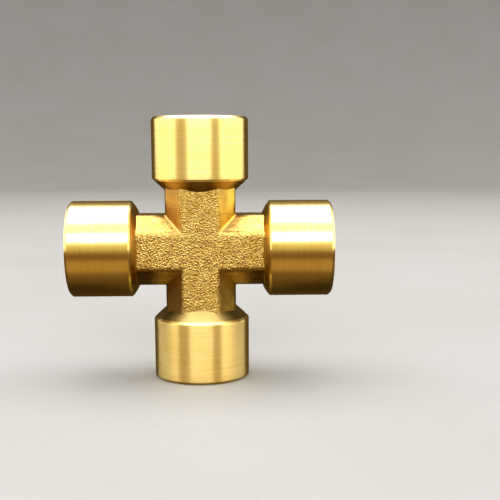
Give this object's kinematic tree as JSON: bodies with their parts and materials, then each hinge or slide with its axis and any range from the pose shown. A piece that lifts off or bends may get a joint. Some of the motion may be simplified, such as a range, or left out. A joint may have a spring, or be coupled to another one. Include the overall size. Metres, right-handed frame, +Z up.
{
  "type": "cross fitting",
  "caption": "Forged brass cross fitting with equal female threaded ports on two crossing runs, octagonal grainy arms and turned cylindrical collars.",
  "frame": {"origin": "where the axes of the two runs cross, the centre of the fitting", "axes": "+Z up along the vertical run, out of the top port; +X along the horizontal run, out of the right port; the front of the fitting faces -Y"},
  "size_m": [0.068, 0.025, 0.068],
  "materials": {
    "forged_brass": "as-forged, shot-blasted to a fine even grain",
    "turned_brass": "turned, satin bright, fine circumferential tool marks"
  },
  "bodies": {
    "root": {"forged_body": "forged_brass", "top_socket": "turned_brass", "right_socket": "turned_brass", "bottom_socket": "turned_brass", "left_socket": "turned_brass"}
  },
  "joints": []
}
